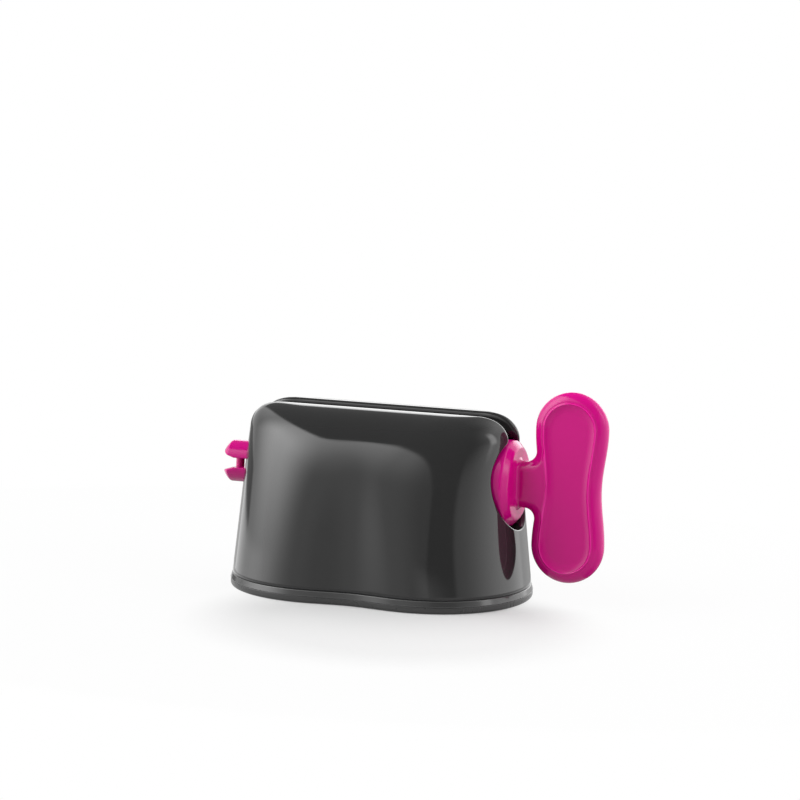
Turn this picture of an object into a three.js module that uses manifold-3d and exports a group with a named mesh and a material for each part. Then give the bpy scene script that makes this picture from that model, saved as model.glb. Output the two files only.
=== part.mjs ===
import * as THREE from 'three';
import { mergeVertices } from 'three/addons/utils/BufferGeometryUtils.js';
import Module from 'manifold-3d';

const wasm = await Module();
wasm.setup();

// Tube squeezer. Sizes are millimetres, the key's axis runs along +X and the front looks along -Y.
// The floor is z = 0, with the origin in the middle of the sole's underside.

// Housing shell
const BODY_HEIGHT = 44.6; // floor to the top of the lips
const SEAM_HEIGHT = 3.1; // floor to the foot of the shell
const FOOT_LENGTH = 73.7; // over both ends at the foot
const FOOT_DEPTH = 47.4; // front to back over the end lobes at the foot
const SHOULDER_LENGTH = 66.7; // over both ends where the top corners begin
const END_FLARE = 1.2; // power of the widening towards the foot, 1 is a straight end
const CORNER_RADIUS = 6; // top corners seen from the front
const CREST_DEPTH = 8.6; // front to back over the crests of the lips
const SHOULDER_POWER = 3; // roundness of the wall's climb, higher is boxier
const END_SQUARENESS = 2.08; // power of the round ends seen from above, 2 is a circle
const FOOT_WAIST = 1.2; // how far the middle of the front draws in at the foot
const WALL = 2; // shell thickness

// Tube slot
const SLOT_WIDTH = 6.4;
const LIP_ROUND = 1.1; // rounding of the slot's edges
const LIP_DEPTH = 5; // height of the slot's inner walls
const LIP_WALL = 2; // thickness of the slot's inner walls

// Winding key
const AXIS_HEIGHT = 28.5; // floor to the key's axis
const KEY_TURN = 2.9; // degrees that the grip leans back
const ROD_DIAMETER = 10.2;
const ROD_TIP_X = -41.1; // free end of the split rod
const ROD_TIP_DIAMETER = 5;
const ROD_TIP_TAPER = 2.2; // length of the chamfer at the free end
const ROD_SLOT = 2.3; // gap that takes the tube's flat end
const ROD_SLOT_START_X = 25.5;
const BRIDGE_X = -37.3; // pin that ties the two prongs together
const BRIDGE_DIAMETER = 2.1;
const NOTCH_MOUTH = 4.6; // height of the notch at the free end
const COLLAR_DIAMETER = 20.6;
const COLLAR_BACK_X = 29.6;
const COLLAR_EDGE_X = 32.9; // where the collar starts to narrow
const COLLAR_FACE_X = 34.5;
const COLLAR_FACE_DIAMETER = 17.2;
const COLLAR_ROUND = 0.4;
const NECK_HEIGHT = 11.2;
const NECK_THICKNESS = 5.2;
const NECK_FILLET = 2.4; // fillet from the neck into the grip
const NECK_ROOT = 0.9; // fillet from the collar's face into the neck
const NECK_OVERLAP = 2.2; // how far the neck runs into the grip's rounded edge
const NECK_SHAPE = 3.2; // power of the neck's rounded section, 2 is an ellipse
const GRIP_X = 47.1; // middle of the grip along the axis
const GRIP_WIDTH = 17.9;
const GRIP_LENGTH = 45.5;
const GRIP_THICKNESS = 5.2;
const GRIP_WAIST = 1.2; // how far each long side draws in
const GRIP_SQUARENESS = 2; // power of the grip's round ends, 2 is a circle
const PANEL_INSET = 2.6; // from the outline to the crease around the panel
const PANEL_SLOPE = 2.4; // width of the dished border inside the crease
const PANEL_SINK = 0.8; // how far the panel lies below the crease

// Bearings in the shell
const COLLAR_PLAY = 0.7; // gap around the collar
const ROD_PLAY = 0.35; // gap around the rod
const BEARING_WALL = 1.8;
const AXIAL_PLAY = 0.4; // gap behind the collar
const LEFT_BEARING_X = -28; // inner end of the left bearing

// Base plate and sole
const SOLE_HEIGHT = 1.65;
const FOOT_FLANGE = 0.5; // how far the base stands out past the shell
const SOLE_STEP = 0.1; // how far the sole stays behind the base plate
const SOLE_EDGE = 0.7; // rounding of the sole's lower edge
const RIM_HEIGHT = 2.4; // locating rim above the seam
const RIM_WALL = 1.4;
const RIM_PLAY = 0.3; // gap between the rim and the shell
const PAD_HEIGHT = 1.1; // screw pads above the seam
const PAD_DIAMETER = 7;

// Base screws and their posts
const POST_DIAMETER = 6.4;
const POST_HEIGHT = 9; // length of a post above its pad
const POST_INSET = 2.2; // from the shell's inner wall to the post's centre, so the post grows into the wall
const POST_ANGLE = 50; // degrees from the key's axis
const SCREW_DIAMETER = 2.5;
const SCREW_LENGTH = 8; // below the head
const SCREW_HEAD_DIAMETER = 4.8;
const SCREW_HEAD_HEIGHT = 1;
const SCREW_PLAY = 0.25; // gap around the shank
const HEAD_PLAY = 0.4; // gap around the head
const DRIVE_LENGTH = 2.8; // cross recess in the head
const DRIVE_WIDTH = 0.7;
const DRIVE_DEPTH = 0.5;

// Resolution
const ARC_STEPS = 16; // along each end of an outline
const SIDE_STEPS = 10; // along each side of an outline
const LEVEL_STEPS = 15; // from the foot of the shell to its lips
const ROUND_STEPS = 36; // around turned pieces
const FILLET_STEPS = 5; // across each small rounding
const MERGE_DISTANCE = 0.0001; // corners closer than this are one corner
const PAST = 5; // how far a cutting body runs past what it cuts

// Colours and finishes
const HOUSING_COLOUR = 0x3d3e40;
const HOUSING_ROUGHNESS = 0.15;
const BASE_COLOUR = 0x38393b;
const BASE_ROUGHNESS = 0.2;
const SOLE_COLOUR = 0x2b2c2d;
const SOLE_ROUGHNESS = 0.6;
const SCREW_COLOUR = 0xa8aaad;
const SCREW_ROUGHNESS = 0.35;
const KEY_COLOUR = 0xc4148a;
const KEY_ROUGHNESS = 0.18;

const halfSlot = SLOT_WIDTH / 2;
const crestRadius = CREST_DEPTH / 2;
const footRadius = FOOT_DEPTH / 2;
const footHalf = FOOT_LENGTH / 2;
const shoulderHalf = SHOULDER_LENGTH / 2;
const rodRadius = ROD_DIAMETER / 2;
const boreRadius = COLLAR_DIAMETER / 2 + COLLAR_PLAY;
const rodBoreRadius = rodRadius + ROD_PLAY;
const endOffset = footHalf - footRadius;
const cornerStart = BODY_HEIGHT - CORNER_RADIUS;
const padTop = SEAM_HEIGHT + PAD_HEIGHT;
const screwSeat = SOLE_HEIGHT + SCREW_HEAD_HEIGHT + HEAD_PLAY / 2;
const screwTip = screwSeat + SCREW_LENGTH;
const radians = THREE.MathUtils.degToRad;

// Closed bodies
function solid(geometry) {
  const bare = new THREE.BufferGeometry();
  bare.setAttribute('position', geometry.getAttribute('position').clone());
  if (geometry.index) bare.setIndex(geometry.index.clone());
  const merged = mergeVertices(bare, MERGE_DISTANCE);
  const vertProperties = new Float32Array(merged.getAttribute('position').array);
  const triVerts = new Uint32Array(merged.index.array);
  return new wasm.Manifold(new wasm.Mesh({ numProp: 3, vertProperties, triVerts }));
}

function geometryOf(body) {
  const mesh = body.getMesh();
  const geometry = new THREE.BufferGeometry();
  geometry.setAttribute('position', new THREE.BufferAttribute(new Float32Array(mesh.vertProperties), 3));
  geometry.setIndex(new THREE.BufferAttribute(new Uint32Array(mesh.triVerts), 1));
  geometry.computeVertexNormals();
  return geometry;
}

// A skin through rings of equally many points, closed by a fan over the first and the last ring.
function loft(rings) {
  const count = rings[0].length;
  const points = rings.flat();
  const middle = (ring) => ring.reduce((sum, p) => sum.add(p), new THREE.Vector3()).divideScalar(count);
  const first = points.push(middle(rings[0])) - 1;
  const last = points.push(middle(rings.at(-1))) - 1;
  const index = [];
  for (let r = 0; r + 1 < rings.length; r++) {
    for (let i = 0; i < count; i++) {
      const j = (i + 1) % count;
      const a = r * count + i;
      const b = r * count + j;
      index.push(a, b, b + count, a, b + count, a + count);
    }
  }
  const top = (rings.length - 1) * count;
  for (let i = 0; i < count; i++) {
    const j = (i + 1) % count;
    index.push(first, j, i, last, top + i, top + j);
  }
  const geometry = new THREE.BufferGeometry().setFromPoints(points);
  geometry.setIndex(index);
  return solid(geometry);
}

// A profile of (radius, position) pairs turned about the X axis.
function turned(profile) {
  const lathe = new THREE.LatheGeometry(profile.map(([r, x]) => new THREE.Vector2(r, x)), ROUND_STEPS);
  return solid(lathe.rotateZ(-Math.PI / 2));
}

// A profile of (radius, height) pairs turned about an upright axis.
function upright(profile, x, y) {
  const lathe = new THREE.LatheGeometry(profile.map(([r, z]) => new THREE.Vector2(r, z)), ROUND_STEPS / 2);
  return solid(lathe.rotateX(Math.PI / 2).translate(x, y, 0));
}

function pillar(radius, from, to, x, y) {
  return upright([[0, from], [radius, from], [radius, to], [0, to]], x, y);
}

function block(xRange, yRange, zRange) {
  const size = [xRange, yRange, zRange].map(([low, high]) => high - low);
  const centre = [xRange, yRange, zRange].map(([low, high]) => (low + high) / 2);
  return solid(new THREE.BoxGeometry(...size).translate(...centre));
}

const rounded = (value, power) => Math.sign(value) * Math.abs(value) ** (2 / power);

// Outline with two round ends and sides that draw in towards the middle, counter-clockwise.
function lobedOutline(offset, radius, waist, power) {
  const points = [];
  for (const sign of [1, -1]) {
    for (let i = 0; i <= ARC_STEPS; i++) {
      const angle = -Math.PI / 2 + (Math.PI * i) / ARC_STEPS;
      const along = offset + radius * rounded(Math.cos(angle), power);
      const across = radius * rounded(Math.sin(angle), power);
      points.push(new THREE.Vector2(sign * along, sign * across));
    }
    for (let i = 1; i < SIDE_STEPS; i++) {
      const t = 1 - (2 * i) / SIDE_STEPS;
      const drawn = (waist * (1 + Math.cos(Math.PI * t))) / 2;
      points.push(new THREE.Vector2(sign * t * offset, sign * (radius - drawn)));
    }
  }
  return points;
}

// Half-length of the shell at a height, with its flared ends and round top corners.
function endReach(z, inset) {
  const climb = THREE.MathUtils.clamp((z - SEAM_HEIGHT) / (cornerStart - SEAM_HEIGHT), 0, 1);
  const reach = shoulderHalf + (footHalf - shoulderHalf) * (1 - climb) ** END_FLARE;
  const radius = CORNER_RADIUS - inset;
  const rise = THREE.MathUtils.clamp(z - cornerStart, 0, radius);
  return reach - inset - radius + Math.sqrt(radius ** 2 - rise ** 2);
}

// Outer skin of the shell, or its hollow when inset by the wall.
function shellBody(inset) {
  const rings = [];
  const top = BODY_HEIGHT - inset;
  const wide = footRadius - inset;
  for (let i = 0; i <= LEVEL_STEPS; i++) {
    const turn = (Math.PI / 2) * (i / LEVEL_STEPS);
    const z = SEAM_HEIGHT + (top - SEAM_HEIGHT) * Math.sin(turn) ** (2 / SHOULDER_POWER);
    const radius = crestRadius + (wide - crestRadius) * Math.cos(turn);
    const waist = FOOT_WAIST * Math.cos(turn);
    const outline = lobedOutline(endReach(z, inset) - radius, radius, waist, END_SQUARENESS);
    rings.push(outline.map((p) => new THREE.Vector3(p.x, p.y, z)));
  }
  if (inset > 0) rings.unshift(rings[0].map((p) => new THREE.Vector3(p.x, p.y, SEAM_HEIGHT - PAST)));
  return loft(rings);
}

// Trumpet-shaped cut along the shell's outline that rounds both edges of the slot.
function slotCutter() {
  const section = [];
  for (const sign of [1, -1]) {
    const arc = [];
    for (let i = 0; i <= FILLET_STEPS; i++) {
      const angle = (Math.PI / 2) * (i / FILLET_STEPS);
      const across = halfSlot + LIP_ROUND * (1 - Math.cos(angle));
      arc.push([sign * across, LIP_ROUND * (Math.sin(angle) - 1)]);
    }
    arc.push([sign * (halfSlot + LIP_ROUND), PAST]);
    arc.unshift([sign * halfSlot, -PAST]);
    section.push(...(sign > 0 ? arc : arc.reverse()));
  }
  const path = [];
  for (let i = 0; i < FILLET_STEPS; i++) {
    const z = AXIS_HEIGHT + (cornerStart - AXIS_HEIGHT) * (i / FILLET_STEPS);
    path.push([endReach(z, 0), z, 1, 0]);
  }
  for (let i = 0; i <= LEVEL_STEPS; i++) {
    const angle = (Math.PI / 2) * (i / LEVEL_STEPS);
    const x = shoulderHalf + CORNER_RADIUS * (Math.cos(angle) - 1);
    const z = BODY_HEIGHT + CORNER_RADIUS * (Math.sin(angle) - 1);
    path.push([x, z, Math.cos(angle), Math.sin(angle)]);
  }
  const mirrored = path.map(([x, z, nx, nz]) => [-x, z, -nx, nz]).reverse();
  const place = ([x, z, nx, nz]) => section.map(([y, d]) => new THREE.Vector3(x + nx * d, y, z + nz * d));
  return loft([...path, ...mirrored].reverse().map(place));
}

function postPlaces() {
  const angle = radians(POST_ANGLE);
  const reach = footRadius - WALL - POST_INSET;
  const x = endOffset + reach * Math.cos(angle);
  const y = reach * Math.sin(angle);
  return [[x, -y], [x, y], [-x, y], [-x, -y]];
}

function cylinderAlongX(radius, from, to) {
  return turned([[0, from], [radius, from], [radius, to], [0, to]]).translate([0, 0, AXIS_HEIGHT]);
}

function housingShell() {
  const outer = shellBody(0);
  const past = footHalf + PAST;
  const top = BODY_HEIGHT + PAST;
  const lipSide = halfSlot + LIP_WALL;
  const lips = block([-past, past], [-lipSide, lipSide], [BODY_HEIGHT - LIP_DEPTH, top]);
  const cupBack = COLLAR_BACK_X - AXIAL_PLAY - BEARING_WALL;
  const cup = cylinderAlongX(boreRadius + BEARING_WALL, cupBack, past);
  const sleeve = cylinderAlongX(rodBoreRadius + BEARING_WALL, -past, LEFT_BEARING_X);
  let inside = lips.add(cup).add(sleeve);
  for (const [x, y] of postPlaces()) {
    inside = inside.add(pillar(POST_DIAMETER / 2, padTop, padTop + POST_HEIGHT, x, y));
  }
  let shell = outer.subtract(shellBody(WALL)).add(inside.intersect(outer));
  shell = shell.subtract(cylinderAlongX(boreRadius, COLLAR_BACK_X - AXIAL_PLAY, past));
  shell = shell.subtract(cylinderAlongX(rodBoreRadius, -past, past));
  shell = shell.subtract(block([-past, past], [-halfSlot, halfSlot], [AXIS_HEIGHT, top]));
  shell = shell.subtract(slotCutter());
  for (const [x, y] of postPlaces()) {
    const hole = SCREW_DIAMETER / 2 + SCREW_PLAY;
    shell = shell.subtract(pillar(hole, padTop - PAST, screwTip + SCREW_PLAY, x, y));
  }
  return shell;
}

function flatRing(radius, waist, z) {
  const outline = lobedOutline(endOffset, radius, waist, END_SQUARENESS);
  return outline.map((p) => new THREE.Vector3(p.x, p.y, z));
}

function basePlate() {
  const wide = footRadius + FOOT_FLANGE;
  const rimRadius = footRadius - WALL - RIM_PLAY;
  const rimTop = SEAM_HEIGHT + RIM_HEIGHT;
  const waist = FOOT_WAIST;
  const plate = loft([flatRing(wide, waist, SOLE_HEIGHT), flatRing(footRadius, waist, SEAM_HEIGHT)]);
  const rimOuter = loft([flatRing(rimRadius, waist, SOLE_HEIGHT), flatRing(rimRadius, waist, rimTop)]);
  const rimInner = loft([
    flatRing(rimRadius - RIM_WALL, waist, SEAM_HEIGHT),
    flatRing(rimRadius - RIM_WALL, waist, rimTop + PAST),
  ]);
  let body = rimOuter.subtract(rimInner);
  for (const [x, y] of postPlaces()) {
    const clear = POST_DIAMETER / 2 + RIM_PLAY;
    body = body.subtract(pillar(clear, SEAM_HEIGHT, rimTop + PAST, x, y));
  }
  body = body.add(plate);
  for (const [x, y] of postPlaces()) {
    const raised = pillar(PAD_DIAMETER / 2, SOLE_HEIGHT, padTop, x, y);
    const head = pillar(SCREW_HEAD_DIAMETER / 2 + HEAD_PLAY, SOLE_HEIGHT - PAST, screwSeat, x, y);
    const shank = pillar(SCREW_DIAMETER / 2 + SCREW_PLAY, SOLE_HEIGHT, padTop + PAST, x, y);
    body = body.add(raised.intersect(rimOuter)).subtract(head.add(shank));
  }
  return body;
}

function antiSlipSole() {
  const wide = footRadius + FOOT_FLANGE - SOLE_STEP;
  const rings = [];
  for (let i = 0; i <= FILLET_STEPS; i++) {
    const angle = (Math.PI / 2) * (i / FILLET_STEPS);
    const radius = wide - SOLE_EDGE * (1 - Math.sin(angle));
    rings.push(flatRing(radius, FOOT_WAIST, SOLE_EDGE * (1 - Math.cos(angle))));
  }
  rings.push(flatRing(wide, FOOT_WAIST, SOLE_HEIGHT));
  return loft(rings);
}

function baseScrew(x, y) {
  const bottom = screwSeat - SCREW_HEAD_HEIGHT;
  const head = SCREW_HEAD_DIAMETER / 2;
  const shank = SCREW_DIAMETER / 2;
  const body = upright([
    [0, bottom],
    [head, bottom],
    [head, screwSeat],
    [shank, screwSeat],
    [shank, screwTip - shank],
    [0, screwTip],
  ], x, y);
  const long = DRIVE_LENGTH / 2;
  const thin = DRIVE_WIDTH / 2;
  const depth = [bottom - PAST, bottom + DRIVE_DEPTH];
  const across = block([x - long, x + long], [y - thin, y + thin], depth);
  const along = block([x - thin, x + thin], [y - long, y + long], depth);
  return body.subtract(across.add(along));
}

// Outline of the grip as an upright ring at a depth, inset from its edge.
function gripRing(inset, y) {
  const radius = GRIP_WIDTH / 2;
  const offset = GRIP_LENGTH / 2 - radius;
  const outline = lobedOutline(offset, radius - inset, GRIP_WAIST, GRIP_SQUARENESS);
  return outline.map((p) => new THREE.Vector3(GRIP_X + p.y, y, p.x));
}

function gripBody() {
  const half = GRIP_THICKNESS / 2;
  const rings = [];
  for (let i = -FILLET_STEPS; i <= FILLET_STEPS; i++) {
    const angle = (Math.PI / 2) * (i / FILLET_STEPS);
    rings.push(gripRing(PANEL_INSET * (1 - Math.cos(angle)), half * Math.sin(angle)));
  }
  let grip = loft(rings);
  for (const sign of [1, -1]) {
    const dish = [gripRing(PANEL_INSET, half + PAST), gripRing(PANEL_INSET, half)];
    for (let i = 1; i <= FILLET_STEPS; i++) {
      const t = i / FILLET_STEPS;
      const sunk = (PANEL_SINK * (1 - Math.cos(Math.PI * t))) / 2;
      dish.push(gripRing(PANEL_INSET + PANEL_SLOPE * t, half - sunk));
    }
    for (const ring of dish) for (const p of ring) p.y *= sign;
    grip = grip.subtract(loft(sign > 0 ? dish.reverse() : dish));
  }
  return grip;
}

// Neck between the collar's face and the grip, a rounded slab that widens at both ends.
function neckBody() {
  const rings = [];
  const ringAt = (x, thicker, taller) => {
    const ring = [];
    for (let i = 0; i < ROUND_STEPS; i++) {
      const angle = (2 * Math.PI * i) / ROUND_STEPS;
      const y = (NECK_THICKNESS / 2 + thicker) * rounded(Math.cos(angle), NECK_SHAPE);
      const z = (NECK_HEIGHT / 2 + taller) * rounded(Math.sin(angle), NECK_SHAPE);
      ring.push(new THREE.Vector3(x, y, z));
    }
    rings.push(ring);
  };
  ringAt(COLLAR_FACE_X - NECK_ROOT, NECK_ROOT, NECK_ROOT);
  for (let i = 0; i <= FILLET_STEPS; i++) {
    const angle = (Math.PI / 2) * (i / FILLET_STEPS);
    const grow = NECK_ROOT * (1 - Math.sin(angle));
    ringAt(COLLAR_FACE_X + NECK_ROOT * (1 - Math.cos(angle)), grow, grow);
  }
  const gripEdge = GRIP_X - GRIP_WIDTH / 2 + GRIP_WAIST;
  for (let i = 0; i <= FILLET_STEPS; i++) {
    const angle = (Math.PI / 2) * (i / FILLET_STEPS);
    const x = gripEdge - NECK_FILLET * (1 - Math.sin(angle));
    ringAt(x, 0, NECK_FILLET * (1 - Math.cos(angle)));
  }
  ringAt(gripEdge + NECK_OVERLAP, 0, NECK_FILLET);
  return loft(rings);
}

function windingKey() {
  const edge = COLLAR_DIAMETER / 2;
  const face = COLLAR_FACE_DIAMETER / 2;
  const collar = turned([
    [0, COLLAR_BACK_X],
    [edge - COLLAR_ROUND, COLLAR_BACK_X],
    [edge, COLLAR_BACK_X + COLLAR_ROUND],
    [edge, COLLAR_EDGE_X],
    [face, COLLAR_FACE_X - COLLAR_ROUND],
    [face - COLLAR_ROUND, COLLAR_FACE_X],
    [0, COLLAR_FACE_X],
  ]);
  const tip = ROD_TIP_DIAMETER / 2;
  let rod = turned([
    [0, ROD_TIP_X],
    [tip, ROD_TIP_X],
    [rodRadius, ROD_TIP_X + ROD_TIP_TAPER],
    [rodRadius, COLLAR_EDGE_X],
    [0, COLLAR_EDGE_X],
  ]);
  const half = ROD_SLOT / 2;
  const past = ROD_TIP_X - PAST;
  rod = rod.subtract(block([past, ROD_SLOT_START_X], [-COLLAR_DIAMETER, COLLAR_DIAMETER], [-half, half]));
  const slope = (NOTCH_MOUTH / 2 - half) / (BRIDGE_X - ROD_TIP_X);
  const wide = half + slope * (BRIDGE_X - past);
  const notch = new THREE.Shape();
  notch.moveTo(BRIDGE_X, -half);
  notch.lineTo(BRIDGE_X, half);
  notch.lineTo(past, wide);
  notch.lineTo(past, -wide);
  notch.closePath();
  const cut = new THREE.ExtrudeGeometry(notch, { depth: 2 * COLLAR_DIAMETER, bevelEnabled: false });
  rod = rod.subtract(solid(cut.translate(0, 0, -COLLAR_DIAMETER).rotateX(Math.PI / 2)));
  const pin = BRIDGE_DIAMETER / 2;
  rod = rod.add(pillar(pin, -tip, tip, BRIDGE_X, 0));
  return rod.add(collar).add(neckBody()).add(gripBody());
}

// Assembly
function named(name, body, colour, roughness) {
  const material = new THREE.MeshStandardMaterial({ color: colour, roughness, metalness: 0 });
  const mesh = new THREE.Mesh(geometryOf(body), material);
  mesh.name = name;
  return mesh;
}

const squeezer = new THREE.Group();
squeezer.name = 'tube_squeezer';
squeezer.add(named('housing_shell', housingShell(), HOUSING_COLOUR, HOUSING_ROUGHNESS));
squeezer.add(named('base_plate', basePlate(), BASE_COLOUR, BASE_ROUGHNESS));
squeezer.add(named('anti_slip_sole', antiSlipSole(), SOLE_COLOUR, SOLE_ROUGHNESS));
postPlaces().forEach(([x, y], i) => {
  const screw = named(`base_screw_${i + 1}`, baseScrew(x, y), SCREW_COLOUR, SCREW_ROUGHNESS);
  screw.material.metalness = 1;
  squeezer.add(screw);
});

const key = new THREE.Group();
key.position.z = AXIS_HEIGHT;
key.rotation.x = -radians(KEY_TURN);
key.add(named('winding_key', windingKey(), KEY_COLOUR, KEY_ROUGHNESS));
squeezer.add(key);

export default squeezer;
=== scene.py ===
# %% [markdown]
# # Tube squeezer
# A small table-top squeezer: a glossy anthracite shell with a long slot in its back, standing on a
# thin base, and a magenta key with a grip at one end and a split winding rod at the other.
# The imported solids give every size. They are faceted, and facets show at once in polished plastic, so
# each visible piece is worked out again here as a fine smooth surface that stands for its solid.

import bmesh
import bpy
import numpy as np
from mathutils import Matrix, Vector


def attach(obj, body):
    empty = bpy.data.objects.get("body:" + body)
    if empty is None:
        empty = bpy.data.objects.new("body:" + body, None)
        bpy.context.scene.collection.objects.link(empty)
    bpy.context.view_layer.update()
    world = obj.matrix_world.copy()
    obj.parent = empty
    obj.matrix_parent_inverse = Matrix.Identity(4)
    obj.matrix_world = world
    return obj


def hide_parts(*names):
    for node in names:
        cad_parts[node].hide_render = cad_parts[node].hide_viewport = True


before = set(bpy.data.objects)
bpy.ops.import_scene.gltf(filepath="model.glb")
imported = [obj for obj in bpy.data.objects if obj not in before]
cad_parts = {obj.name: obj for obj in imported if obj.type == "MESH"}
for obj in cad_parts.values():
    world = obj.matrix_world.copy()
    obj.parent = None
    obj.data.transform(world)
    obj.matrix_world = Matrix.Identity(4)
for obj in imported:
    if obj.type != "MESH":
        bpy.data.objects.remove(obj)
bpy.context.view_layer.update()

# %% [markdown]
# ## From arrays to meshes
# Every piece below is a grid of points. A grid turns into four-sided faces by joining each point to its
# neighbours, and a welding step closes seams and poles where rows of points meet. Writing the grid
# out with numpy keeps the formula of each shape in view, which a modelling tool would hide.

# %% Grids and patches


def grid_faces(rows, columns, wrap=False):
    """Indices of the quads between the points of a rows by columns grid.
    With wrap, the last column is joined to the first."""
    row = np.arange(rows - 1)[:, None]
    column = np.arange(columns if wrap else columns - 1)[None, :]
    after = (column + 1) % columns
    corners = (row * columns + column, row * columns + after,
               (row + 1) * columns + after, (row + 1) * columns + column)
    return np.stack(np.broadcast_arrays(*corners), axis=-1).reshape(-1, 4)


def skin_of(points, wrap=False):
    """A (rows, columns, 3) grid of points as a patch: its flat list of points and its quads."""
    return points.reshape(-1, 3), grid_faces(points.shape[0], points.shape[1], wrap)


def mirrored(patches):
    """Patches with y turned to -y, and their faces turned round so that they still point outwards."""
    return [(points * [1, -1, 1], faces[:, ::-1]) for points, faces in patches]


print("a grid of 3 by 4 points has", len(grid_faces(3, 4)), "faces")

# %% Pieces
MILLIMETRE = 0.001
WELD_DISTANCE = 2e-6
SLIVER_SIZE = WELD_DISTANCE / 4


def piece(name, patches):
    """Joins patches given in millimetres into one welded, smooth, outward-facing mesh object."""
    starts = np.cumsum([0] + [len(points) for points, _ in patches])
    points = np.concatenate([p for p, _ in patches]) * MILLIMETRE
    faces = np.concatenate([f + start for (_, f), start in zip(patches, starts)])
    mesh = bpy.data.meshes.new(name)
    mesh.from_pydata(points.tolist(), [], faces.tolist())
    work = bmesh.new()
    work.from_mesh(mesh)
    bmesh.ops.remove_doubles(work, verts=work.verts, dist=WELD_DISTANCE)
    bmesh.ops.dissolve_degenerate(work, edges=work.edges, dist=SLIVER_SIZE)
    bmesh.ops.recalc_face_normals(work, faces=work.faces)
    open_edges = sum(not edge.is_manifold for edge in work.edges)
    work.to_mesh(mesh)
    work.free()
    mesh.shade_smooth()
    made = bpy.data.objects.new(name, mesh)
    bpy.context.scene.collection.objects.link(made)
    print(name, len(mesh.polygons), "faces,", open_edges, "open edges")
    return made


def place(made, body, slot, *nodes):
    """The piece moves with a body and stands for the named solids, which it hides. The slot is not used.
    """
    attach(made, body)
    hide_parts(*nodes)


print("points closer than", WELD_DISTANCE, "m are welded")

# %% [markdown]
# ## Small helpers
# Some edges get painted light or shade: painted highlight lines on the base plate and the key's bead,
# and a painted shade along the sole's foot. How much a point gets follows from its place in the shape,
# so it is written into the mesh as an attribute, which the finishes read later. The other helpers ease
# one value into the next and shorten vectors to length one.

# %% Wear, easing and directions


def points_of(made):
    """All points of a piece, in millimetres."""
    points = np.empty(3 * len(made.data.vertices))
    made.data.vertices.foreach_get("co", points)
    return points.reshape(-1, 3) / MILLIMETRE


def paint_light_and_shade(made, share):
    """Writes down how strongly each point of a piece gets the painted edge light or shade, from 0 to 1,
    for the finishes to read.
    """
    layer = made.data.attributes.new("painted_light_and_shade", "FLOAT", "POINT")
    layer.data.foreach_set("value", np.clip(share, 0, 1).astype(np.float32))


def smooth_step(value, low, high):
    """0 below low, 1 above high, and 3t^2 - 2t^3 between them."""
    t = np.clip((value - low) / (high - low), 0, 1)
    return t * t * (3 - 2 * t)


def unit(vectors):
    """Vectors of length one."""
    return vectors / np.linalg.norm(vectors, axis=-1, keepdims=True)


def dot(one, other):
    """Dot products of two lists of vectors, as a column."""
    return np.sum(one * other, axis=1, keepdims=True)


print("a quarter of the way up, an eased step has risen by", smooth_step(0.25, 0, 1))

# %% [markdown]
# ## Shell
# The shell is one moulding: a foot shaped like a figure of eight rises into a narrow ridge that is slit
# from end to end. Seen from above each level is an outline with two round ends and slightly drawn-in
# sides, and all levels together are one function of two numbers: p runs along the outline and q runs
# from the ridge down to the foot. The square root hidden in q keeps the round shoulder free of kinks.

# %% Shell levels
BODY_HEIGHT = 44.6
SEAM_HEIGHT = 3.1
FOOT_LENGTH = 73.7
FOOT_DEPTH = 47.4
SHOULDER_LENGTH = 66.7
END_FLARE = 1.2
CORNER_RADIUS = 6.0
CREST_DEPTH = 8.6
END_SQUARENESS = 2.08
FOOT_WAIST = 1.2
WAIST_FADE = 8
END_STRETCH = 9.0
END_FULLNESS = 0.3
SHELL_RISE = BODY_HEIGHT - SEAM_HEIGHT
CORNER_START = BODY_HEIGHT - CORNER_RADIUS


def shell_level(q):
    """Height, half-length, end length, radius, waist and end power of the outline at level q.
    The height falls by the rise times q squared, the radius grows by the cosine of a power-three
    superellipse, the round ends are longest and fullest halfway up, and the waist fades quickly
    above the foot."""
    drop = SHELL_RISE * q**2
    height = BODY_HEIGHT - drop
    spread = q * np.sqrt(3 - 3 * q**2 + q**4)
    radius = CREST_DEPTH / 2 + (FOOT_DEPTH - CREST_DEPTH) / 2 * spread
    climb = np.clip((height - SEAM_HEIGHT) / (CORNER_START - SEAM_HEIGHT), 0, 1)
    reach = (SHOULDER_LENGTH + (FOOT_LENGTH - SHOULDER_LENGTH) * (1 - climb) ** END_FLARE) / 2
    above_corner = np.clip(CORNER_RADIUS - drop, 0, None)
    reach = reach - CORNER_RADIUS + np.sqrt(CORNER_RADIUS**2 - above_corner**2)
    halfway = 4 * spread * (1 - spread)
    end = radius + END_STRETCH * halfway
    waist = FOOT_WAIST * spread**WAIST_FADE
    power = 2 / (END_SQUARENESS + END_FULLNESS * halfway)
    return height, reach, end, radius, waist, power


print("shell rises", SHELL_RISE, "mm above its seam")

# %% Shell surface


def outline(p, reach, end, radius, waist, power):
    """Front half of one level's outline: p from 0 to 1 is the right end, 1 to 2 the front and
    2 to 3 the left end. The ends are superellipse quarters, the front dips by half a cosine wave."""
    right = np.clip(p, 0, 1) * np.pi / 2
    left = np.clip(3 - p, 0, 1) * np.pi / 2
    along = np.clip(3 - 2 * p, -1, 1)
    bulge = np.abs(np.cos(right)) ** power * (p < 1) - np.abs(np.cos(left)) ** power * (p > 2)
    x = (reach - end) * along + end * bulge
    y = waist * (1 + np.cos(np.pi * along)) / 2 - radius * np.sin(np.minimum(right, left)) ** power
    return x, y


def shell_surface(p, q):
    """Front half of the shell as points: each level's outline at that level's height."""
    height, *shape = shell_level(q)
    x, y = outline(p, *shape)
    return np.stack(np.broadcast_arrays(x, y, height), axis=-1)


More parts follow.
